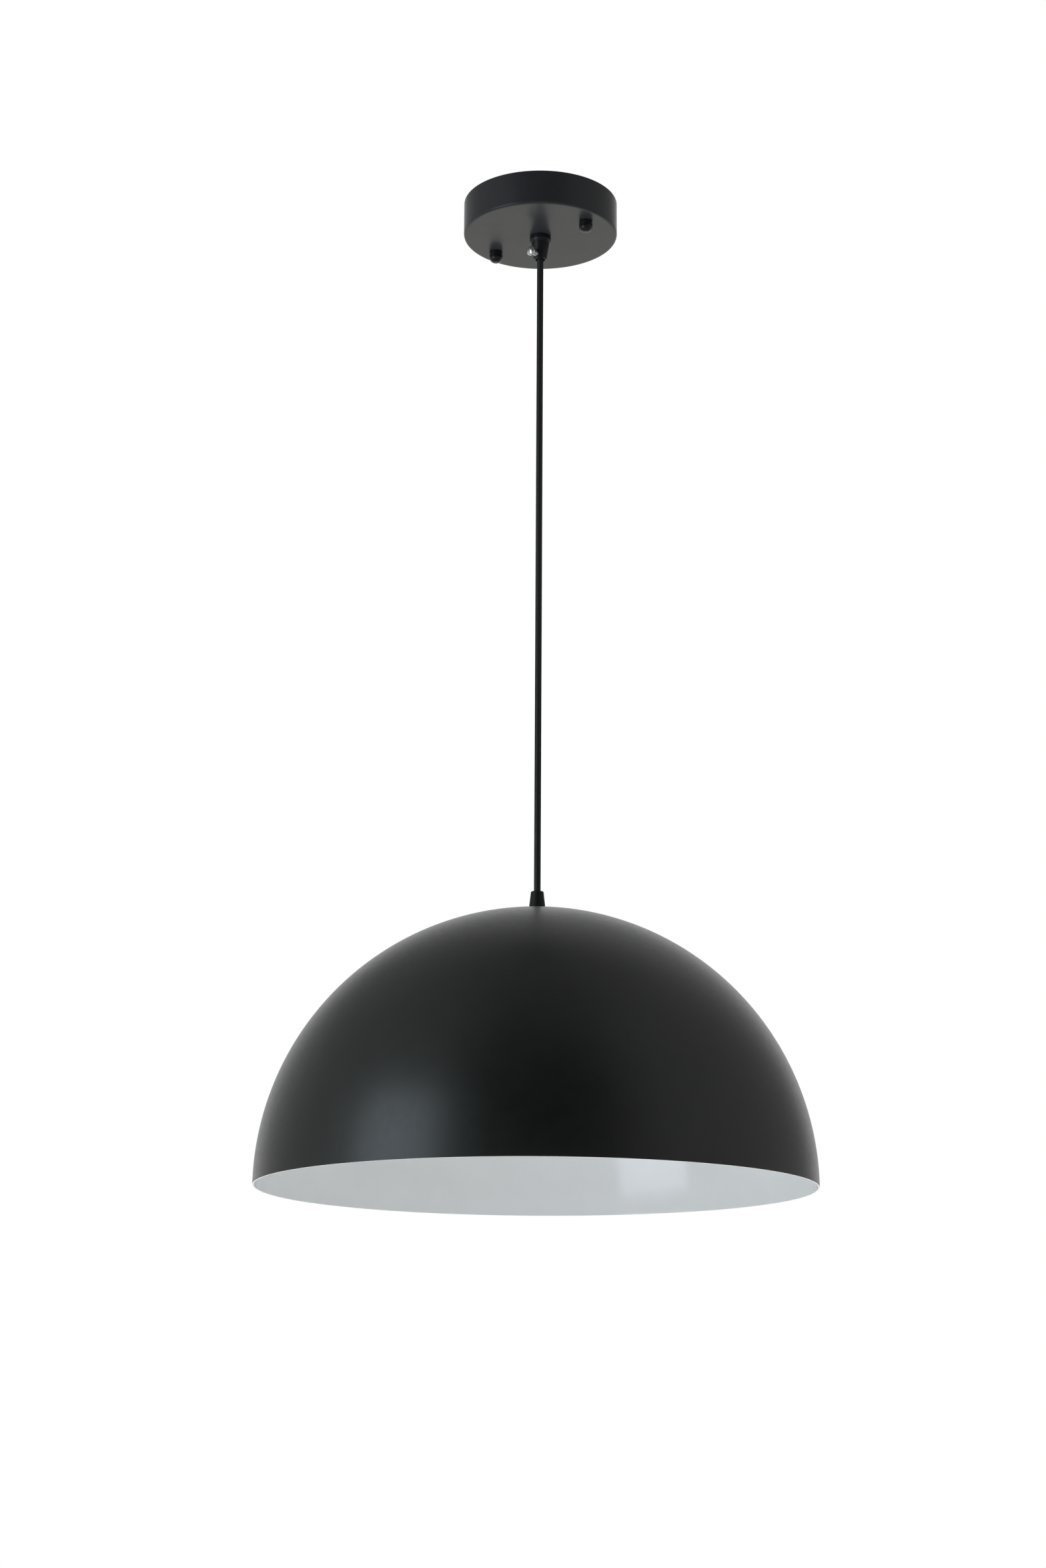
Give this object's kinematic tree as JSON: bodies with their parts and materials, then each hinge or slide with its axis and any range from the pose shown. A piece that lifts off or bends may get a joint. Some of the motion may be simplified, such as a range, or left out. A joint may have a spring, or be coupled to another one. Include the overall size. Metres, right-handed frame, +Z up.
{
  "type": "pendant ceiling light",
  "caption": "Hemispherical metal dome pendant on a straight textile cord from a round ceiling canopy, with cord grips, cap nuts and a lampholder.",
  "frame": {"origin": "on the ceiling plane, midway between the mounting strap's two box-screw slots, on the cord's line", "axes": "+Z up, into the ceiling; the two cap nuts lie on X; the cord's clamp screw points along -Y"},
  "size_m": [0.4059, 0.406, 0.77],
  "materials": {
    "black_paint": "satin",
    "black_nut": "satin",
    "zinc_steel": "satin",
    "bright_screw": "gloss",
    "brass": "satin",
    "nylon": "satin",
    "black_plastic": "satin",
    "porcelain": "satin",
    "cord_cloth": "matte",
    "lead_brown": "satin",
    "lead_blue": "satin",
    "lead_green": "satin"
  },
  "bodies": {
    "canopy": {"canopy": "black_paint", "mounting_strap": "zinc_steel", "canopy_studs": "zinc_steel", "stud_jam_nuts": "zinc_steel", "cord_grip": "black_paint", "grip_washer": "zinc_steel", "grip_locknut": "zinc_steel", "terminal_block": "nylon", "block_inserts": "brass", "block_screws": "bright_screw", "block_fixing_screw": "zinc_steel", "earth_ring": "brass", "earth_screw": "bright_screw", "cord_upper_end": "cord_cloth", "lead_live_upper": "lead_brown", "lead_neutral_upper": "lead_blue", "lead_earth_upper": "lead_green"},
    "left_washer": {"cap_washer_left": "zinc_steel"},
    "left_nut": {"cap_nut_left": "black_nut"},
    "right_washer": {"cap_washer_right": "zinc_steel"},
    "right_nut": {"cap_nut_right": "black_nut"},
    "clamp_pad": {"clamp_pad": "nylon"},
    "clamp_screw": {"clamp_screw": "bright_screw"},
    "cord_bend": {"cord_core_joint": "cord_cloth"},
    "cord_neck": {"cord_neck": "cord_cloth"},
    "cord": {"cord": "cord_cloth"},
    "shade": {"shade": "black_paint", "shade_grip": "black_paint", "shade_nipple": "zinc_steel", "shade_washer": "zinc_steel", "shade_locknut": "zinc_steel", "lampholder_cap": "black_plastic", "lampholder_body": "black_plastic", "lampholder_core": "porcelain", "screw_shell": "brass", "contact_foot": "brass", "lampholder_terminals": "brass", "terminal_screws": "bright_screw", "cord_lower_end": "cord_cloth", "lead_live_lower": "lead_brown", "lead_neutral_lower": "lead_blue", "lead_earth_lower": "lead_green"},
    "contact_tongue": {"contact_tongue": "brass"}
  },
  "joints": [
    {"name": "swing_side", "type": "hinge", "parent": "canopy", "child": "cord_bend", "pos_m": [0, 0, -0.0466], "axis": [0, 1, 0], "range_deg": [-25, 25]},
    {"name": "swing_front", "type": "hinge", "parent": "cord_bend", "child": "cord_neck", "pos_m": [0, 0, -0.0466], "axis": [1, 0, 0], "range_deg": [-25, 25]},
    {"name": "shade_turn", "type": "hinge", "parent": "cord_neck", "child": "cord", "pos_m": [0, 0, -0.0566], "axis": [0, 0, 1], "range_deg": [-180, 180]},
    {"name": "drop_adjust", "type": "slide", "parent": "cord", "child": "shade", "axis": [0, 0, 1], "range_m": [0, 0.3], "deforming": ["cord"]},
    {"name": "clamp_travel", "type": "slide", "parent": "canopy", "child": "clamp_pad", "axis": [0, -1, 0], "range_m": [0, 0.0014]},
    {"name": "clamp_turn", "type": "hinge", "parent": "clamp_pad", "child": "clamp_screw", "pos_m": [0, -0.008, -0.0429], "axis": [0, -1, 0], "range_deg": [0, 720]},
    {"name": "left_nut_travel", "type": "slide", "parent": "canopy", "child": "left_washer", "axis": [0, 0, -1], "range_m": [0, 0.0056]},
    {"name": "left_nut_turn", "type": "hinge", "parent": "left_washer", "child": "left_nut", "pos_m": [-0.045, 0, -0.032], "axis": [0, 0, -1], "range_deg": [0, 2880]},
    {"name": "right_nut_travel", "type": "slide", "parent": "canopy", "child": "right_washer", "axis": [0, 0, -1], "range_m": [0, 0.0056]},
    {"name": "right_nut_turn", "type": "hinge", "parent": "right_washer", "child": "right_nut", "pos_m": [0.045, 0, -0.032], "axis": [0, 0, -1], "range_deg": [0, 2880]},
    {"name": "contact_press", "type": "hinge", "parent": "shade", "child": "contact_tongue", "pos_m": [0, 0.008, -0.6084], "axis": [-1, 0, 0], "range_deg": [0, 8], "stiffness_Nm_per_rad": 0.05}
  ],
  "couplings": [
    {"joint": "clamp_turn", "follows": "clamp_travel", "rad_per_m": 8976},
    {"joint": "left_nut_turn", "follows": "left_nut_travel", "rad_per_m": 8976},
    {"joint": "right_nut_turn", "follows": "right_nut_travel", "rad_per_m": 8976}
  ]
}
